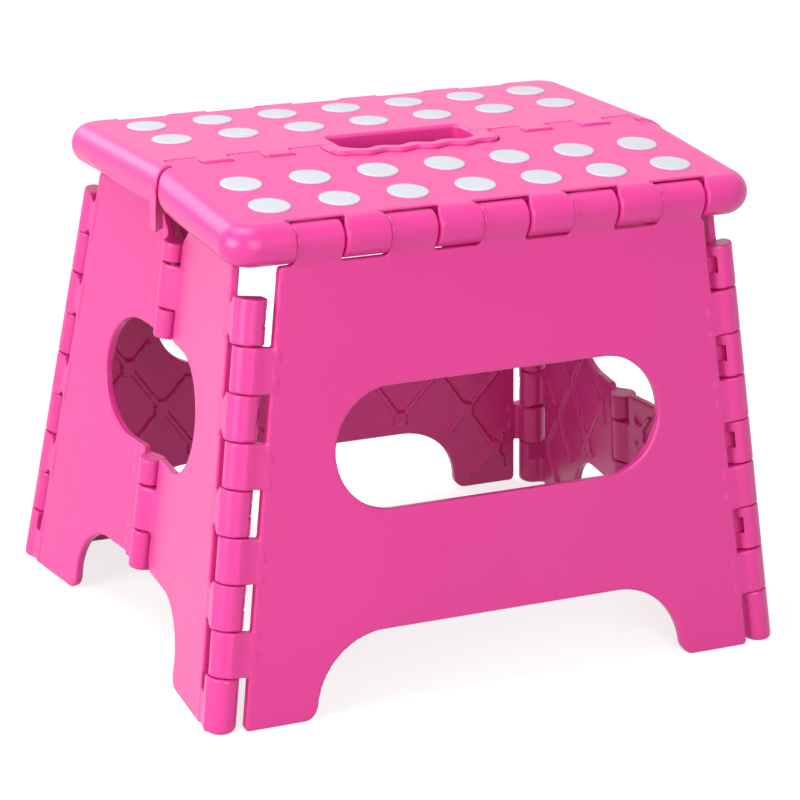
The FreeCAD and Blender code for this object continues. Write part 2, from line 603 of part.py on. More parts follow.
def all_parts():
    """Every sub-part of the open stool."""
    parts = [leg("leg_front", leg_frame), leg("leg_rear", half_turn.multiply(leg_frame))]
    rear_frame = half_turn.multiply(top_frame)
    parts += [front_top("top_front"), rear_top("top_rear")]

    front_left = end_half("end_front_left", (1,), "centre_play")
    rear_left = mirrored("end_rear_left", end_half("end_rear", (0, 2), "pin_grip"), Y_AXIS)
    parts += [front_left, mirrored("end_front_right", front_left, X_AXIS)]
    parts += [rear_left, mirrored("end_rear_right", rear_left, X_AXIS)]

    edge_end = given.edge_pin_margin - given.top_half_length
    for side, frame in (("front", top_frame), ("rear", rear_frame)):
        parts.append(pin("edge_pin_" + side, "edge_pin_radius", "2 * (top_half_length - edge_pin_margin)",
                         lying(frame, edge_end, 0, 0)))
        for number, place in enumerate(dot_places(), start=1):
            parts.append(pin(f"dot_{side}_{number}", "dot_radius", "dot_seat + dot_stand",
                             raised(frame, place.x, place.y, place.z)))
    for side, start in (("left", -finger_end), ("right", given.finger_start)):
        parts.append(pin("ridge_pin_" + side, "ridge_pin_radius", "finger_end - finger_start",
                         lying(top_frame, start, ridge_place, ridge_height)))

    centre_axis = end_frame.multiply(centre_frame)
    for side, sign_x in (("left", 1), ("right", -1)):
        for end, sign_y in (("front", 1), ("rear", -1)):
            frame = opposite(corner_frame, sign_x, sign_y)
            parts.append(pin(f"corner_pin_{end}_{side}", "corner_pin_radius",
                             f"{corner_bore_end} - corner_pin_start - side_gap",
                             raised(frame, z=given.corner_pin_start)))
        for name, low in (("lower", given.lower_hinge_low), ("upper", upper_hinge_low)):
            frame = opposite(centre_axis, sign_x, 1)
            inset = given.centre_gap / 2 + given.centre_pin_inset
            length = f"{name}_hinge_high - {name}_hinge_low - centre_gap - 2 * centre_pin_inset"
            parts.append(pin(f"centre_pin_{name}_{side}", "centre_pin_radius", length,
                             raised(frame, z=low + inset)))
    return parts


sub_parts = all_parts()
doc.recompute()

for piece in doc.Objects:
    if "Invalid" in piece.State or "Error" in piece.State:
        raise RuntimeError(f"{piece.Name} failed: {piece.State}")
for part in sub_parts:
    if part.Shape.isNull() or not part.Shape.isValid() or len(part.Shape.Solids) != 1:
        raise RuntimeError(f"{part.Label} is not one valid solid")

os.makedirs("parts", exist_ok=True)
for part in sub_parts:
    part.Shape.Solids[0].exportStep(f"parts/{part.Label}.step")
    print(f"{part.Label}: {part.Shape.Volume:.1f} mm3")
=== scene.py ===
import json
import math

import bpy
import numpy as np
from mathutils import Matrix, Vector


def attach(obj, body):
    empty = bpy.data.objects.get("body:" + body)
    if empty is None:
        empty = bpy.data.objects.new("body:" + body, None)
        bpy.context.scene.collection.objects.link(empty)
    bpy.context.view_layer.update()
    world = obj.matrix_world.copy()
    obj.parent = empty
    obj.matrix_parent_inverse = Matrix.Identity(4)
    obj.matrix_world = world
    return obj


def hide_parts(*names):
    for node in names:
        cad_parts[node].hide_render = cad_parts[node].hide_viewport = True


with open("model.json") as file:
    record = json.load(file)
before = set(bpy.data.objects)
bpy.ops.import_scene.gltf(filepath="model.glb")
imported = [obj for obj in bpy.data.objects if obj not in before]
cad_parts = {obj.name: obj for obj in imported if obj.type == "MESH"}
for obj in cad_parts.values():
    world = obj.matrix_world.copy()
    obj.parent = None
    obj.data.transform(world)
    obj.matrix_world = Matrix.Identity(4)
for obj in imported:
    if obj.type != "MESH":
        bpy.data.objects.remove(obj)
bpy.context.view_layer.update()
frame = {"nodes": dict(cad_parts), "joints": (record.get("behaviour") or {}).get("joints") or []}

# Sizes in millimetres. X runs along the stool and -Y is its front. The hinges and the outer sizes are
# those of the solids. The leg's slot and arch, the notches, skirts, cheeks and ears are read closer here.

HINGE_HEIGHT = 213.14
FOOT_HALF_LENGTH = 137.9
SPLAY = math.radians(7.03)
TAPER = math.radians(6.48)
TUCK = math.radians(6.0)
CROWN = math.radians(2.83)

KNUCKLE_RADIUS = 7.9
KNUCKLE_PITCH = 45.0
KNUCKLE_FIRST = 2.4 - 2 * KNUCKLE_PITCH
KNUCKLE_HALF_WIDTH = 11.5
KNUCKLE_COUNT = 5
KNUCKLE_FILLET = 4.0
LEG_WALL = 4.4
LEG_FACE = 3.3
LEG_TOP = 10.05
SLOT_HALF_LENGTH = 81.2
SLOT_RADIUS = 28.0
SLOT_DROP = 95.9
LEG_ARCH_HALF_WIDTH = 93.2
LEG_ARCH_HEIGHT = 35.8
LEG_ARCH_ROUND = 34.0
LEG_ARCH_FOOT = 7.0

CORNER_RADIUS = 6.9
CORNER_OFFSET = CORNER_RADIUS - LEG_FACE
LEG_LENGTH = (HINGE_HEIGHT - CORNER_OFFSET * math.sin(SPLAY)) / math.cos(SPLAY)
CORNER_EDGE = 9.2
CORNER_KNUCKLE = 21.0
CORNER_KNUCKLE_COUNT = 4
FOOT_KNUCKLE = 24.7
WINDOW_RISE = 1.5
WINDOW_HALF_HEIGHT = 3.6
WINDOW_ACROSS = (-4.7, -1.0)
WINDOW_DEEP = (-12.0, -2.8)
ROOT_PLACE = 7.8
ROOT_HALF_WIDTH = 3.2
ROOT_DEPTH = 3.4
ROOT_SLOPE = 0.7
POCKET_START = 5.4
POCKET_BELOW = 8.5
POCKET_ABOVE = 5.0
SIDE_GAP = 0.5

END_WALL = 4.0
END_TOP = 202.0
END_HOLE_HALF_WIDTH = 52.0
END_HOLE_RADIUS = 28.0
END_HOLE_HEIGHT = 117.7
END_ARCH_HALF_WIDTH = 60.0
END_ARCH_HEIGHT = 35.6
END_ARCH_ROUND = 26.0
END_ARCH_FOOT = 6.0
END_ROUND = 2.0
BEVEL_START = 7.0
BEVEL_FOOT = 190.5
BEVEL_SLOPE = 0.92
BEVEL_ROUND = 3.0
CENTRE_RADIUS = 6.0
CENTRE_EDGE = 8.4
CENTRE_GAP = 1.0
CENTRE_WALL = 24.0
CENTRE_REACH = 16.0
CENTRE_FILLET = 5.0
CENTRE_SEAT = 0.5
LOWER_HINGE = (33.4, 52.8, 74.7, 87.8)
UPPER_HINGE = (144.9, 159.4, 180.9, 191.0)

TOP_HALF_LENGTH = 131.0
TOP_RISE = 9.55
TOP_SKIN = 2.8
NOSE = 9.55
RIM_BACK = 7.5
RIM_BACK_ROUND = 3.0
PLAN_ROUND = 15.0
SEAM_ROUND = 14.0
SEAM = 89.424
RIDGE_PLACE = 88.51
RIDGE_HEIGHT = -8.95
RIDGE_RADIUS = 6.0
RIDGE_FILLET = 2.0
SKIN_LAP = 1.0
FINGER_START = 43.5
FINGER_WIDTH = 15.2
FINGER_END = 119.5
FRONT_REACH = 0.9
REAR_REACH = 7.0
SEAM_GAP = 0.8
NOTCH_DEPTH = 10.4
NOTCH_FLARE = 2.6
FLARE_RUN = 5.0
FLARE_RISE = 2.0
NOTCH_EDGE = 0.7
NOTCH_ROOM = 0.5
SKIRT_START = 7.8
SKIRT_END = 32.0
SKIRT_SLOPE = 0.85
SKIRT_ROUND = 1.2
WALL_DROP = 16.0
WALL_SWEEP = 6.5
SWEEP_START = 20.0
SWEEP_RUN = 65.0
WALL_EDGE = 1.0
CHEEK_BACK = 2.0
EAR_DROP = 28.5
EAR_BACK = 8.0
EAR_FRONT = 2.3

BAR_HALF_LENGTH = 43.0
BAR_FRONT = 16.2
BAR_DEPTH = 12.0
BAR_BACK = 5.0
BAR_ROUND = 10.0
BAR_EDGE = 2.0
BAR_TOP_EDGE = 1.4
BAY_ROUND = 10.5
HOLE_HALF_LENGTH = 34.0
HOLE_BACK = 15.8
HOLE_FRONT = 8.6
HOLE_ROUND = 5.0
HOLE_BACK_ROUND = 2.0
HOLE_EDGE = 2.2
WAVE_PITCH = 16.5
WAVE_SHIFT = 1.2
BAR_WAVE = 1.1
HOLE_WAVE = 1.5

DOT_RADIUS = 9.28
DOT_PITCH = 33.4
DOT_ROWS = (39.2, 69.6)
DOT_COLUMNS = 7
DOT_STAND = 0.6
DOT_SIDES = 64

MOULD_EDGE = 0.9
KNUCKLE_EDGE = 0.8
SIDE_ROUND = 1.5
FOOT_ROUND = 2.5
SMALL_FILLET = 0.6
STRAP_FILLET = 2.5
STRAP_LAP = 3.0

RIB_WIDTH = 2.6
RIB_HEIGHT = 1.6
RIB_EDGE = 0.5
BOSS_SHARE = 1.6
PANEL_RIB_SPACING = 30.0
PANEL_RIB_LEAN = math.radians(38)
PANEL_RIB_MARGIN = 6.0
TOP_RIB_SPACING = 24.0
TOP_RIB_LEAN = math.radians(45)
TOP_RIB_MIDDLE = 42.0
TOP_RIB_HALF_RUN = 36.0
TOP_RIB_DROP = 2.0
TOP_RIB_HALF_HEIGHT = 3.0
TOP_RIB_EDGE = 0.6


# Distances. Each is negative inside a form, nought on its face and positive outside, in millimetres.

def rounded_in(one, other, radius):
    """What lies in both forms, with the edge where they meet turned to the radius.
    The sharp corner is moved in by the radius and a circle of it is swept round."""
    inner = np.minimum(np.maximum(one, other), -radius)
    return inner + np.hypot(np.maximum(one + radius, 0), np.maximum(other + radius, 0))


def filleted(one, other, radius):
    """Both forms together, with the hollow where they meet filled to the radius."""
    outer = np.maximum(np.minimum(one, other), radius)
    return outer - np.hypot(np.maximum(radius - one, 0), np.maximum(radius - other, 0))


def block(u, v, u_run, v_run):
    """Distance to a rectangle: its overshoot on each axis, taken together outside it."""
    over_u = np.abs(u - (u_run[0] + u_run[1]) / 2) - (u_run[1] - u_run[0]) / 2
    over_v = np.abs(v - (v_run[0] + v_run[1]) / 2) - (v_run[1] - v_run[0]) / 2
    outside = np.hypot(np.maximum(over_u, 0), np.maximum(over_v, 0))
    return outside + np.minimum(np.maximum(over_u, over_v), 0)


def long_hole(u, v, half_length, radius):
    """Distance to a hole with round ends: a circle carried along its middle line."""
    return np.hypot(np.maximum(np.abs(u) - (half_length - radius), 0), v) - radius


def arch(u, v, half_width, top, radius):
    """Distance to an opening from below whose two upper corners are rounded."""
    over_u = np.abs(u) - (half_width - radius)
    over_v = v - (top - radius)
    outside = np.hypot(np.maximum(over_u, 0), np.maximum(over_v, 0))
    return outside + np.minimum(np.maximum(over_u, over_v), 0) - radius


def nearest(place, first, pitch, count):
    """Distance along a row from the nearest of its evenly spaced middles."""
    index = np.clip(np.round((place - first) / pitch), 0, count - 1)
    return np.abs(place - first - index * pitch)


def lattice(u, v, spacing, lean):
    """Distance to crossing ribs: two rows of even lines, leaning both ways,
    with round bosses where they cross."""
    across = [u * math.cos(lean) + sign * v * math.sin(lean) for sign in (1, -1)]
    off = [np.abs(line - spacing * np.round(line / spacing)) for line in across]
    return np.minimum(np.minimum(*off) - RIB_WIDTH / 2, np.hypot(*off) - BOSS_SHARE * RIB_WIDTH)


def ribbed(sheet, outline, u, v, deep):
    """A sheet with low crossing ribs on its inner face, kept clear of its outline."""
    ribs = np.maximum(lattice(u, v, PANEL_RIB_SPACING, PANEL_RIB_LEAN), outline + PANEL_RIB_MARGIN)
    return filleted(sheet, rounded_in(ribs, np.abs(deep) - RIB_HEIGHT, RIB_EDGE), SMALL_FILLET)


# The leg's own frame has its origin on the edge hinge, its outer face at -Y and its foot at -Z.

def leg_form(x, y, z):
    """A leg panel. A sheet is trimmed to its outline, and every strap is its hinge's
    round section carried along the hinge."""
    side = np.abs(x)
    run = FOOT_HALF_LENGTH - side
    rise = z + LEG_LENGTH
    inset = run * math.cos(TAPER) - rise * math.sin(TAPER)
    along = run * math.sin(TAPER) + rise * math.cos(TAPER)
    below = y * math.sin(SPLAY) - z * math.cos(SPLAY) - HINGE_HEIGHT

    outline = rounded_in(CORNER_EDGE - inset, z + LEG_TOP, SIDE_ROUND)
    outline = rounded_in(outline, below, FOOT_ROUND)
    opening = arch(x, rise, LEG_ARCH_HALF_WIDTH, LEG_ARCH_HEIGHT, LEG_ARCH_ROUND)
    outline = rounded_in(outline, -opening, LEG_ARCH_FOOT)
    slot = long_hole(x, z + SLOT_DROP, SLOT_HALF_LENGTH, SLOT_RADIUS)
    outline = np.maximum(outline, -slot)
    inner_face = LEG_WALL - LEG_FACE
    sheet = rounded_in(outline, np.abs(y - inner_face + LEG_WALL / 2) - LEG_WALL / 2, MOULD_EDGE)
    sheet = ribbed(sheet, outline, x, z + SLOT_DROP, y - inner_face)

    deep = y - CORNER_OFFSET
    barrel = np.hypot(inset, deep) - CORNER_RADIUS
    strap = block(inset, deep, (0, CORNER_EDGE + STRAP_LAP), (-CORNER_RADIUS, LEG_WALL - CORNER_RADIUS))
    first = FOOT_KNUCKLE + CORNER_KNUCKLE / 2
    off = nearest(along, first, 2 * CORNER_KNUCKLE, CORNER_KNUCKLE_COUNT) - (CORNER_KNUCKLE - SIDE_GAP) / 2
    straps = rounded_in(filleted(barrel, strap, STRAP_FILLET), off, KNUCKLE_EDGE)
    form = filleted(sheet, straps, SMALL_FILLET)

    barrel = np.hypot(y, z) - KNUCKLE_RADIUS
    strap = block(y, z, (-LEG_FACE, inner_face), (-LEG_TOP - STRAP_LAP, 0))
    off = nearest(x, KNUCKLE_FIRST, KNUCKLE_PITCH, KNUCKLE_COUNT) - KNUCKLE_HALF_WIDTH
    return np.minimum(form, rounded_in(filleted(barrel, strap, KNUCKLE_FILLET), off, KNUCKLE_EDGE))


# The end half's own frame has Z up the corner hinge, X towards the centre hinge and Y outwards.

foot_joint = next(joint for joint in frame["joints"] if joint["name"] == "front_left_corner_fold")
corner_foot = np.array(foot_joint["pos_m"]) * 1000
upright = -np.array(foot_joint["axis"])
level = np.array([0, 1, 0]) - upright * upright[1]
level /= np.linalg.norm(level)
inward = level * math.cos(TUCK) - np.cross(upright, level) * math.sin(TUCK)
outward = np.cross(upright, inward)
end_axes = np.array([inward, outward, upright])


def centre_at(height):
    """Where the outer face of the end half meets the middle plane of the stool at a height:
    its place across and along the end half."""
    start = corner_foot + outward * CORNER_RADIUS
    sides = np.array([[inward[1], upright[1]], [inward[2], upright[2]]])
    return np.linalg.solve(sides, np.array([-start[1], height - start[2]]))


centre_low = centre_at(0.0)
centre_high = centre_at(HINGE_HEIGHT)
CENTRE_LEAN = math.atan2(centre_low[0] - centre_high[0], centre_high[1] - centre_low[1])


def end_form(x, y, z, knuckle_runs):
    """An end half. A sheet is trimmed to its outline, and every strap is its hinge's
    round section carried along the hinge."""
    below = -(corner_foot[2] + x * inward[2] + y * outward[2] + z * upright[2])
    off_x = x - centre_low[0]
    off_z = z - centre_low[1]
    across = off_x * math.cos(CENTRE_LEAN) + off_z * math.sin(CENTRE_LEAN)
    along = off_z * math.cos(CENTRE_LEAN) - off_x * math.sin(CENTRE_LEAN)

    bevel = across + BEVEL_START + BEVEL_SLOPE * (along - BEVEL_FOOT)
    outline = rounded_in(CORNER_EDGE - x, -below - END_TOP, END_ROUND)
    outline = rounded_in(outline, bevel / math.hypot(1, BEVEL_SLOPE), BEVEL_ROUND)
    outline = rounded_in(outline, across + CENTRE_EDGE, SIDE_ROUND)
    outline = rounded_in(outline, below, END_ROUND)
    opening = arch(across, along, END_ARCH_HALF_WIDTH, END_ARCH_HEIGHT, END_ARCH_ROUND)
    outline = rounded_in(outline, -opening, END_ARCH_FOOT)
    hole = long_hole(across, along - END_HOLE_HEIGHT, END_HOLE_HALF_WIDTH, END_HOLE_RADIUS)
    outline = rounded_in(outline, -hole, END_ROUND)
    inner_face = CORNER_RADIUS - END_WALL
    sheet = rounded_in(outline, np.abs(y - inner_face - END_WALL / 2) - END_WALL / 2, MOULD_EDGE)
    sheet = ribbed(sheet, outline, across, along, y - inner_face)

    barrel = np.hypot(x, y) - CORNER_RADIUS
    strap = block(x, y, (0, CORNER_EDGE + STRAP_LAP), (inner_face, CORNER_RADIUS))
    first = FOOT_KNUCKLE + 1.5 * CORNER_KNUCKLE
    half = (CORNER_KNUCKLE - SIDE_GAP) / 2
    place = nearest(z, first, 2 * CORNER_KNUCKLE, CORNER_KNUCKLE_COUNT)
    foot = z - FOOT_KNUCKLE + SIDE_GAP / 2
    window = nearest(z - WINDOW_RISE, first, 2 * CORNER_KNUCKLE, CORNER_KNUCKLE_COUNT) - WINDOW_HALF_HEIGHT
    window = np.maximum(block(x, y, WINDOW_ACROSS, WINDOW_DEEP), window)
    root = ROOT_DEPTH * np.maximum(0, 1 - np.abs(x - ROOT_PLACE) / ROOT_HALF_WIDTH)
    pocket_run = (FOOT_KNUCKLE - POCKET_BELOW, FOOT_KNUCKLE + POCKET_ABOVE)
    pocket = block(x, z, (POCKET_START, CORNER_EDGE), pocket_run)
    round_bar = filleted(barrel, strap, STRAP_FILLET)
    straps = rounded_in(round_bar, place - half, KNUCKLE_EDGE)
    straps = np.maximum(np.maximum(straps, ROOT_SLOPE * (place - half + root)), -window)
    foot_bar = rounded_in(rounded_in(round_bar, foot, KNUCKLE_EDGE), below, FOOT_ROUND)
    straps = np.minimum(straps, np.maximum(foot_bar, -pocket))
    form = filleted(sheet, straps, SMALL_FILLET)

    bulge = np.hypot(across, y - CORNER_RADIUS) - CENTRE_RADIUS
    wall = block(across, y, (-CENTRE_WALL, 0), (inner_face, CORNER_RADIUS))
    bulge = np.maximum(filleted(bulge, wall, CENTRE_FILLET), -CENTRE_REACH - across)
    for low, high in knuckle_runs:
        off = np.abs(along - (low + high) / 2) - (high - low - CENTRE_GAP) / 2
        form = filleted(form, rounded_in(bulge, off, MOULD_EDGE), CENTRE_SEAT)
    return form


# The top half's own frame has its origin on the edge hinge, +Y towards the seam and +Z up.

def wave(x):
    """The finger waves of the handle: one cosine along X."""
    return np.cos(2 * math.pi * (x + WAVE_SHIFT) / WAVE_PITCH)


def finger_places(x, indexes):
    """Distance along X to the nearest of the named seam fingers, on both sides of the middle."""
    side = np.abs(x)
    middles = [FINGER_START + (index + 0.5) * FINGER_WIDTH for index in indexes]
    off = np.min([np.abs(side - middle) for middle in middles], axis=0)
    return off - (FINGER_WIDTH - SIDE_GAP) / 2


def tray(x, y, z, lowest):
    """The common form of a top half: a plate whose edge is a half circle carried round the plan,
    hollow below its skin and behind its rim, down to a lower edge that changes along Y."""
    plan = rounded_in(np.abs(x) - TOP_HALF_LENGTH, -NOSE - y, PLAN_ROUND)
    from_nose = np.hypot(np.maximum(plan + NOSE, 0), z)
    hollow = np.minimum(from_nose - NOSE + TOP_SKIN, np.maximum(plan + NOSE, z))
    hollow = rounded_in(hollow, RIM_BACK - y, RIM_BACK_ROUND)
    shell = np.maximum(from_nose - NOSE, -hollow)
    under = TOP_RISE - TOP_SKIN
    ribs = np.maximum(lattice(x, y, TOP_RIB_SPACING, TOP_RIB_LEAN), plan + NOSE - SKIN_LAP)
    ribs = np.maximum(ribs, np.abs(y - TOP_RIB_MIDDLE) - TOP_RIB_HALF_RUN)
    rib_height = np.abs(z - under + TOP_RIB_DROP) - TOP_RIB_HALF_HEIGHT
    shell = np.minimum(shell, rounded_in(ribs, rib_height, TOP_RIB_EDGE))
    shell = rounded_in(shell, SKIRT_SLOPE * (lowest - z), SKIRT_ROUND)

    off = nearest(x, KNUCKLE_FIRST, KNUCKLE_PITCH, KNUCKLE_COUNT) - KNUCKLE_HALF_WIDTH - SIDE_GAP
    room = KNUCKLE_RADIUS + NOTCH_ROOM
    behind = y + NOSE - NOTCH_DEPTH
    off = off - NOTCH_FLARE * np.clip(1 - np.abs(behind) / FLARE_RUN, 0, 1) * np.clip(z / FLARE_RISE, 0, 1)
    notch = np.minimum(behind, np.hypot(y, z) - room)
    notch = np.minimum(notch, np.minimum(np.maximum(z, y - room), np.maximum(y, z - room)))
    return rounded_in(shell, -np.maximum(notch, off), NOTCH_EDGE)


def ridge_bars(x, y, z, off):
    """Ridge knuckles with their webs: one section carried along X at the fingers."""
    barrel = np.hypot(y - RIDGE_PLACE, z - RIDGE_HEIGHT) - RIDGE_RADIUS
    web = block(y, z, (RIDGE_PLACE - RIDGE_RADIUS, RIDGE_PLACE), (RIDGE_HEIGHT, TOP_RISE - SKIN_LAP))
    return rounded_in(filleted(barrel, web, RIDGE_FILLET), off, KNUCKLE_EDGE)


def front_top_form(x, y, z):
    """The front half of the top. Its skirts sweep up to the seam, and a bay takes the handle bar."""
    back = SEAM - y
    sweep = np.clip((SKIRT_END - back) / (SKIRT_END - SKIRT_START), 0, 1) ** 1.5
    lowest = np.minimum(TOP_RISE - 2 * NOSE * (1 - sweep), TOP_RISE - TOP_SKIN)
    shell = tray(x, y, z, lowest)
    edge = SEAM - REAR_REACH - SEAM_GAP
    off = finger_places(x, (0, 2, 4))
    reach = rounded_in(np.abs(x) - TOP_HALF_LENGTH, y - edge, SEAM_ROUND)
    reach = filleted(reach, rounded_in(off, y - SEAM - FRONT_REACH, KNUCKLE_EDGE), SMALL_FILLET)
    bay_front = SEAM - BAR_FRONT - SEAM_GAP + BAR_WAVE * wave(x)
    bay = rounded_in(np.abs(x) - BAR_HALF_LENGTH - SIDE_GAP, bay_front - y, BAY_ROUND)
    reach = rounded_in(reach, -bay, KNUCKLE_EDGE)
    shell = rounded_in(shell, reach, MOULD_EDGE)
    return filleted(shell, ridge_bars(x, y, z, off), KNUCKLE_EDGE)


def rear_top_form(x, y, z):
    """The rear half of the top, with the handle bar and hand hole, and at each end
    of the seam a cheek that fills the front half's round corner and ends in an ear below."""
    ahead = y - SEAM
    shell = tray(x, y, z, -2 * NOSE)
    side = np.abs(x)
    outer = np.hypot(np.maximum(side - TOP_HALF_LENGTH + NOSE, 0), np.maximum(z, 0)) - NOSE
    wall = np.maximum(outer, TOP_HALF_LENGTH - TOP_SKIN - side)
    drop = WALL_DROP - WALL_SWEEP * np.clip((-ahead - SWEEP_START) / SWEEP_RUN, 0, 1) ** 2
    wall = rounded_in(wall, np.maximum(TOP_RISE - drop - z, PLAN_ROUND - NOSE - y), WALL_EDGE)
    shell = np.minimum(shell, wall)
    corner = rounded_in(side - TOP_HALF_LENGTH, REAR_REACH + SEAM_GAP - ahead, SEAM_ROUND)
    cheek = np.maximum(FINGER_END + SIDE_GAP / 2 - side, SEAM_GAP - corner)
    ear = np.maximum(TOP_RISE - EAR_DROP - z, EAR_BACK - ahead)
    low = np.minimum(ear, np.maximum(TOP_RISE - WALL_DROP - z, -CHEEK_BACK - ahead))
    shell = np.minimum(shell, rounded_in(np.maximum(outer, cheek), low, WALL_EDGE))
    edge = SEAM - FRONT_REACH - SEAM_GAP
    off = finger_places(x, (1, 3))
    reach = filleted(y - edge, rounded_in(off, ahead - REAR_REACH, KNUCKLE_EDGE), SMALL_FILLET)
    reach = np.minimum(reach, cheek)
    under = TOP_RISE - TOP_SKIN
    reach = np.maximum(reach, np.minimum(np.minimum(ahead - EAR_FRONT, cheek), under - SKIN_LAP - z))
    shell = rounded_in(shell, reach, MOULD_EDGE)
    form = filleted(shell, ridge_bars(x, y, z, off), KNUCKLE_EDGE)

    swell = wave(-x)
    bar = rounded_in(side - BAR_HALF_LENGTH, ahead - BAR_FRONT + BAR_WAVE * swell, BAR_ROUND)
    bar = rounded_in(bar, -HOLE_BACK - BAR_BACK - ahead, BAR_EDGE)
    bar = rounded_in(bar, z - TOP_RISE, BAR_TOP_EDGE)
    bar = rounded_in(bar, TOP_RISE - BAR_DEPTH - z, BAR_EDGE)
    form = filleted(form, bar, SMALL_FILLET)
    hole = rounded_in(side - HOLE_HALF_LENGTH, ahead - HOLE_FRONT + HOLE_WAVE * swell, HOLE_ROUND)
    hole = rounded_in(hole, -HOLE_BACK - ahead, HOLE_BACK_ROUND)
    return rounded_in(form, -hole, HOLE_EDGE)


DRAW_PASSES = 4
DRAW_REACH = 0.05
NORMAL_REACH = 0.15
LEAST_SLOPE = 0.2


def skin_of(form, low, high, step):
    """The face of a form as a closed mesh. The form's distance is worked out on a grid; every grid
    edge that passes through the face gives a four-sided face, whose corners are the middles of the
    crossings in the four cells round it, drawn onto the face along the slope of the distance."""
    step = np.array(step)
    axes = [np.arange(a - 2 * d, b + 3 * d, d) for a, b, d in zip(low, high, step)]
    origin = np.array([axis[0] for axis in axes])
    value = np.ascontiguousarray(form(*np.meshgrid(*axes, indexing="ij", sparse=True)))
    cells = np.array(value.shape) - 1
    rings, flips, points = [], [], []
    for axis in range(3):
        start = np.delete(value, -1, axis)
        end = np.delete(value, 0, axis)
        place = np.argwhere((start < 0) != (end < 0))
        a = start[tuple(place.T)]
        b = end[tuple(place.T)]
        point = place.astype(float)
        point[:, axis] += a / (a - b)
        one, two = (axis + 1) % 3, (axis + 2) % 3
        ring = np.repeat(place[None], 4, axis=0)
        ring[:, :, one] += np.array([-1, 0, 0, -1])[:, None]
        ring[:, :, two] += np.array([-1, -1, 0, 0])[:, None]
        rings.append(np.ravel_multi_index(np.moveaxis(ring, 2, 0), cells).T)
        flips.append(a > 0)
        points.append(point)
    rings, flips, points = np.concatenate(rings), np.concatenate(flips), np.concatenate(points)
    used, number = np.unique(rings, return_inverse=True)
    quads = number.reshape(rings.shape)
    quads[flips] = quads[flips][:, ::-1]
    count = np.bincount(quads.ravel(), minlength=len(used))
    spread = np.repeat(points, 4, axis=0)
    middle = np.stack([np.bincount(quads.ravel(), spread[:, k], len(used)) for k in range(3)], 1)
    middle = middle / count[:, None]
    corner = np.stack(np.unravel_index(used, cells), 1) * step + origin
    vertex = middle * step + origin
    for _ in range(DRAW_PASSES):
        slope = slope_of(form, vertex, DRAW_REACH)
        move = form(*vertex.T)[:, None] * slope / np.maximum((slope ** 2).sum(1), LEAST_SLOPE)[:, None]
        vertex = np.clip(vertex - move, corner, corner + step)
    normal = slope_of(form, vertex, NORMAL_REACH)
    normal /= np.maximum(np.linalg.norm(normal, axis=1), 1e-6)[:, None]
    return vertex, quads, normal


def slope_of(form, points, reach):
    """How the distance changes along each axis: the difference of two readings either side."""
    sides = np.eye(3) * reach
    return np.stack([(form(*(points + side).T) - form(*(points - side).T)) / (2 * reach)
                     for side in sides], 1)


def moulded_panel(name, body, nodes, skin, axes, origin, turn, finish):
    """A moulded piece from its skin: carried from its own frame to the stool, then turned
    or mirrored to its own side, in metres."""
    vertex, quads, normal = skin
    turn = np.array(turn)
    place = (vertex @ axes + origin) * turn / 1000
    facing = normal @ axes * turn
    if turn.prod() < 0:
        quads = quads[:, ::-1]
    mesh = bpy.data.meshes.new(name)
    mesh.from_pydata(place, [], quads)
    mesh.shade_smooth()
    mesh.normals_split_custom_set_from_vertices(facing)
    mesh.materials.append(finish)
    piece = bpy.data.objects.new(name, mesh)
    bpy.context.scene.collection.objects.link(piece)
    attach(piece, body)
    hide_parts(*nodes)
    return piece


def grip_dots(name, body, nodes, axes, origin, turn, finish):
    """Grip dots in one mesh: a low domed profile carried round a circle, at every place
    of the pattern."""
    around = np.linspace(0, 2 * math.pi, DOT_SIDES + 1)[:-1]
    radius = DOT_RADIUS * np.array([1.0, 1.0, 0.99, 0.965, 0.92, 0.75, 0.5, 0.25])
    height = DOT_STAND * np.array([-1.2, 0.45, 0.75, 0.9, 0.97, 1.02, 1.06, 1.08])
    levels = len(radius)
    ring = np.stack([radius[:, None] * np.cos(around), radius[:, None] * np.sin(around),
                     np.broadcast_to(height[:, None], (levels, DOT_SIDES))], 2).reshape(-1, 3)
    poles = np.array([[0, 0, height[0]], [0, 0, height[-1] + 0.01]])
    one = np.concatenate([ring, poles])
    columns = (np.arange(DOT_COLUMNS) - (DOT_COLUMNS - 1) / 2) * DOT_PITCH
    rows = SEAM - np.array(DOT_ROWS)
    count = DOT_COLUMNS * len(DOT_ROWS)
    places = np.stack([np.tile(columns, len(DOT_ROWS)), np.repeat(rows, DOT_COLUMNS),
                       np.full(count, TOP_RISE)], 1)
    vertex = (places[:, None] + one).reshape(-1, 3)

    here = np.arange(DOT_SIDES)
    after = (here + 1) % DOT_SIDES
    step = DOT_SIDES * np.arange(levels - 1)[:, None]
    walls = np.stack([step + here, step + after, step + after + DOT_SIDES, step + here + DOT_SIDES], 2)
    last = DOT_SIDES * (levels - 1)
    foot_pole = np.full(DOT_SIDES, DOT_SIDES * levels)
    base = np.stack([after, here, foot_pole], 1)
    crown = np.stack([last + here, last + after, foot_pole + 1], 1)
    shift = len(one) * np.arange(count)[:, None, None]
    faces = [(part + shift).reshape(-1, part.shape[1]) for part in (walls.reshape(-1, 4), base, crown)]
    mesh = bpy.data.meshes.new(name)
    place = (vertex @ axes + origin) * np.array(turn) / 1000
    mesh.from_pydata(place, [], [face for part in faces for face in part.tolist()])
    mesh.shade_smooth()
    mesh.materials.append(finish)
    piece = bpy.data.objects.new(name, mesh)
    bpy.context.scene.collection.objects.link(piece)
    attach(piece, body)
    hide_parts(*nodes)
    return piece


# Finishes.

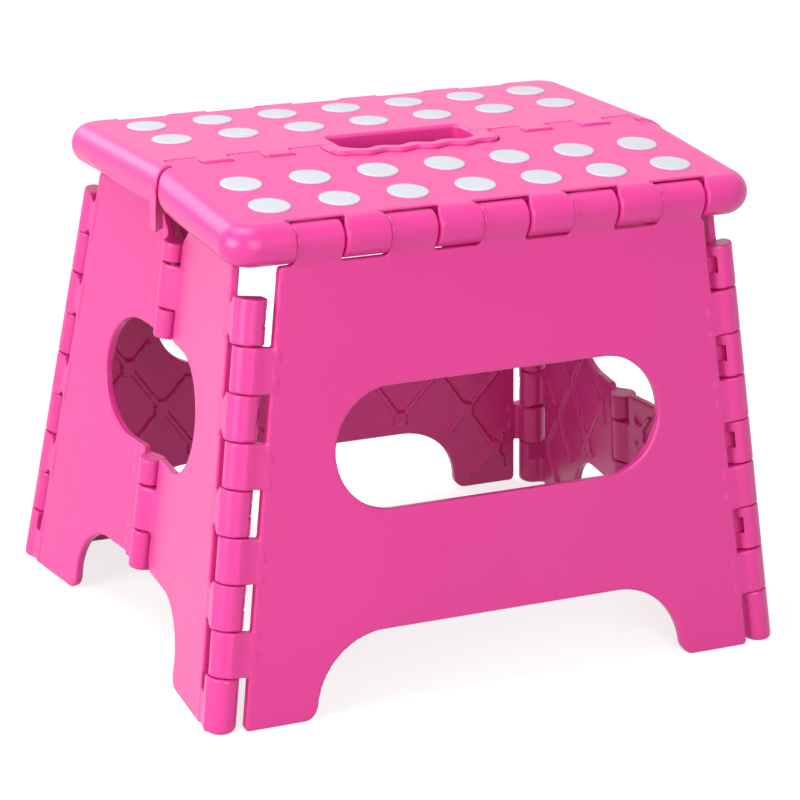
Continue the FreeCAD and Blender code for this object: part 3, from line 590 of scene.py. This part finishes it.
def linear(code):
    """A linear colour from an sRGB hex code."""
    shares = [int(code[i:i + 2], 16) / 255 for i in (1, 3, 5)]
    return [s / 12.92 if s <= 0.04045 else ((s + 0.055) / 1.055) ** 2.4 for s in shares] + [1.0]


def add(tree, kind, sockets=None, **settings):
    """One node with its settings, and with its sockets set to values or linked to other sockets."""
    made = tree.nodes.new(kind)
    for name, value in settings.items():
        setattr(made, name, value)
    for name, value in (sockets or {}).items():
        if isinstance(value, bpy.types.NodeSocket):
            tree.links.new(value, made.inputs[name])
        else:
            made.inputs[name].default_value = value
    return made


def blank(name):
    """A new material with an empty node tree."""
    made = bpy.data.materials.new(name)
    made.use_nodes = True
    made.node_tree.nodes.clear()
    return made, made.node_tree


def per_metre(millimetres):
    """The scale of a pattern whose features are this far apart."""
    return 1000 / millimetres


def noise(tree, spacing, detail):
    """A cloudy pattern whose features are this many millimetres apart."""
    where = add(tree, "ShaderNodeTexCoord").outputs["Object"]
    made = add(tree, "ShaderNodeTexNoise", {"Vector": where, "Scale": per_metre(spacing), "Detail": detail})
    return made.outputs["Fac"]


def surface(name, cloud, grain, colours, roughness, bump, **sockets):
    """A material that wanders between two colours and two roughnesses with a broad pattern, and is
    bumped by a fine one. Each pattern is its spacing in millimetres and its detail, and the bump its
    strength and its height in metres."""
    material, tree = blank(name)
    broad = noise(tree, *cloud)
    fine = noise(tree, *grain)
    colour = add(tree, "ShaderNodeMix", {"Factor": broad}, data_type="RGBA")
    colour.inputs[6].default_value = linear(colours[0])
    colour.inputs[7].default_value = linear(colours[1])
    rough = add(tree, "ShaderNodeMapRange", {"Value": broad, "To Min": roughness[0], "To Max": roughness[1]})
    raised = add(tree, "ShaderNodeBump", {"Height": fine, "Strength": bump[0], "Distance": bump[1]})
    shader = add(tree, "ShaderNodeBsdfPrincipled", {
        "Base Color": colour.outputs[2], "Roughness": rough.outputs["Result"],
        "Normal": raised.outputs["Normal"], **sockets})
    add(tree, "ShaderNodeOutputMaterial", {"Surface": shader.outputs["BSDF"]})
    return material


# Polypropylene, moulded in a fine-sparked tool: one deep pink all through, a satin gloss that catches
# the white surroundings at a low angle, faint cloudy flow marks and a very fine grain.
pink = surface("pink_polypropylene_moulded", (70, 3.0), (1.1, 2.0), ("#E03490", "#E83E99"),
               (0.28, 0.36), (0.06, 0.0002), IOR=1.49)

# Thermoplastic rubber, moulded into the top: a cool soft white, dull, with a fine even grain.
white = surface("white_rubber_moulded", (14, 2.0), (0.9, 2.0), ("#C5C7CE", "#CFD1D8"),
                (0.55, 0.68), (0.12, 0.0002), IOR=1.5)

# Steel wire, drawn and cut for hinge pins: bright grey, with a fine mottle that breaks its shine.
steel = surface("steel_wire_drawn", (1.5, 3.0), (1.5, 3.0), ("#B4B4B0", "#CCCBC8"),
                (0.24, 0.42), (0.1, 0.0001), Metallic=1.0)

# The panels, each made once in its own frame and then set on its own side of the stool.

def tipped(angle):
    """The axes of a frame that is tipped about X by an angle, one axis a row."""
    along, across = math.cos(angle), math.sin(angle)
    return np.array([[1, 0, 0], [0, along, -across], [0, across, along]])


hinge_joint = next(joint for joint in frame["joints"] if joint["name"] == "front_edge_fold")
hinge = np.array(hinge_joint["pos_m"]) * 1000
leg_axes = tipped(SPLAY)
top_axes = tipped(-CROWN)
FRONT = (1, 1, 1)
HALF_TURN = (-1, -1, 1)
MIRROR_X = (-1, 1, 1)
MIRROR_Y = (1, -1, 1)

# Each grid has its low corner, its high corner and its steps.
leg_skin = skin_of(leg_form, (-146, -9, -218), (146, 12, 9), (1.25, 0.9, 1.25))
front_knuckles = (LOWER_HINGE[1:3], UPPER_HINGE[1:3])
rear_knuckles = (LOWER_HINGE[0:2], LOWER_HINGE[2:4], UPPER_HINGE[0:2], UPPER_HINGE[2:4])
front_end_skin, rear_end_skin = [
    skin_of(lambda x, y, z: end_form(x, y, z, runs), (-8, -8, -2), (122, 14, 214), (1.1, 0.9, 1.1))
    for runs in (front_knuckles, rear_knuckles)]
front_top_skin = skin_of(front_top_form, (-132, -11, -17), (132, 97, 11), (1.1, 1.0, 0.9))
rear_top_skin = skin_of(rear_top_form, (-132, -11, -22), (132, 108, 11), (1.1, 1.0, 0.9))

panels = [
    ("leg", "front", leg_skin, leg_axes, hinge, FRONT),
    ("leg", "rear", leg_skin, leg_axes, hinge, HALF_TURN),
    ("top", "front", front_top_skin, top_axes, hinge, FRONT),
    ("top", "rear", rear_top_skin, top_axes, hinge, HALF_TURN),
    ("end", "front_left", front_end_skin, end_axes, corner_foot, FRONT),
    ("end", "front_right", front_end_skin, end_axes, corner_foot, MIRROR_X),
    ("end", "rear_left", rear_end_skin, end_axes, corner_foot, MIRROR_Y),
    ("end", "rear_right", rear_end_skin, end_axes, corner_foot, HALF_TURN),
]
for kind, place, skin, axes, origin, turn in panels:
    node = f"{kind}_{place}"
    panel = moulded_panel(f"{kind}_panel_{place}", node, [node], skin, axes, origin, turn, pink)

for side, turn in (("front", FRONT), ("rear", HALF_TURN)):
    nodes = [f"dot_{side}_{number}" for number in range(1, 2 * DOT_COLUMNS + 1)]
    grip_dots(f"grip_dots_{side}", f"top_{side}", nodes, top_axes, hinge, turn, white)

for name, node in frame["nodes"].items():
    if "_pin_" in name:
        node.data.materials.clear()
        node.data.materials.append(steel)

# The stage: a pale floor that stays white to the camera but keeps the stool's shadow.

FLOOR_SHADE = 0.4
FLOOR_GLOW = 0.76
WORLD_LIGHT = 0.3


def seen_or_mirrored(tree):
    """One where the camera sees a thing straight, in a gloss or through a clear piece, else nought."""
    rays = add(tree, "ShaderNodeLightPath").outputs
    pair = {0: rays["Is Camera Ray"], 1: rays["Is Glossy Ray"]}
    straight = add(tree, "ShaderNodeMath", pair, operation="MAXIMUM").outputs[0]
    pair = {0: straight, 1: rays["Is Transmission Ray"]}
    return add(tree, "ShaderNodeMath", pair, operation="MAXIMUM").outputs[0]


floor_mesh = bpy.data.meshes.new("floor")
FLOOR_REACH = 6.0
floor_corners = FLOOR_REACH * np.array([(-1, -1, 0), (1, -1, 0), (1, 1, 0), (-1, 1, 0)])
floor_mesh.from_pydata(floor_corners, [], [(0, 1, 2, 3)])
floor = bpy.data.objects.new("floor", floor_mesh)
bpy.context.scene.collection.objects.link(floor)
floor_finish, tree = blank("floor_white_card")
glow_level = add(tree, "ShaderNodeMath", {0: seen_or_mirrored(tree), 1: FLOOR_GLOW}, operation="MULTIPLY")
card = add(tree, "ShaderNodeBsdfDiffuse", {"Color": (FLOOR_SHADE, FLOOR_SHADE, FLOOR_SHADE, 1)})
glow = add(tree, "ShaderNodeEmission", {"Color": (1, 1, 1, 1), "Strength": glow_level.outputs[0]})
both = add(tree, "ShaderNodeAddShader", {0: card.outputs[0], 1: glow.outputs[0]})
add(tree, "ShaderNodeOutputMaterial", {"Surface": both.outputs[0]})
floor_mesh.materials.append(floor_finish)

world = bpy.data.worlds.new("studio")
bpy.context.scene.world = world
world.use_nodes = True
tree = world.node_tree
tree.nodes.clear()
levels = {"Value": seen_or_mirrored(tree), "To Min": WORLD_LIGHT, "To Max": 1.0}
level_here = add(tree, "ShaderNodeMapRange", levels).outputs["Result"]
sky = add(tree, "ShaderNodeBackground", {"Color": (1, 1, 1, 1), "Strength": level_here})
add(tree, "ShaderNodeOutputWorld", {"Surface": sky.outputs[0]})


def soft_lamp(name, place, aim, size, power):
    """A square soft lamp that faces a point."""
    lamp = bpy.data.lights.new(name, "AREA")
    lamp.size = size
    lamp.energy = power
    made = bpy.data.objects.new(name, lamp)
    made.location = place
    made.rotation_euler = (Vector(aim) - Vector(place)).to_track_quat("-Z", "Y").to_euler()
    bpy.context.scene.collection.objects.link(made)
    return made


LAMP_AIM = (0, 0, 0.12)
soft_lamp("lamp_left", (-1.5, -0.3, 0.6), LAMP_AIM, 0.9, 18)
soft_lamp("lamp_top", (-0.3, 0.2, 1.7), LAMP_AIM, 1.0, 15)
soft_lamp("lamp_front", (-0.2, -1.7, 0.8), LAMP_AIM, 1.0, 15.5)
soft_lamp("lamp_rear", (-0.6, 1.5, 1.1), LAMP_AIM, 1.0, 9)

# The camera, at the angle and distance of the photograph.

AZIMUTH = math.radians(-26.977)
ELEVATION = math.radians(19.543)
ROLL = math.radians(2.01)
CAMERA_PLACE = (-0.69490, -1.36842, 0.64368)
LENS = 155.0
flat = math.cos(ELEVATION)
away = Vector((math.sin(AZIMUTH) * flat, -math.cos(AZIMUTH) * flat, math.sin(ELEVATION)))
right = Vector((0, 0, 1)).cross(away).normalized()
up = away.cross(right)
rolled_right = right * math.cos(ROLL) + up * math.sin(ROLL)
rolled_up = up * math.cos(ROLL) - right * math.sin(ROLL)
eye = bpy.data.cameras.new("eye")
eye.lens = LENS
eye.sensor_width = 36.0
camera = bpy.data.objects.new("eye", eye)
turned = Matrix((rolled_right, rolled_up, away)).transposed()
camera.matrix_world = Matrix.Translation(CAMERA_PLACE) @ turned.to_4x4()
bpy.context.scene.collection.objects.link(camera)
bpy.context.scene.camera = camera

scene = bpy.context.scene
scene.view_settings.view_transform = "Standard"
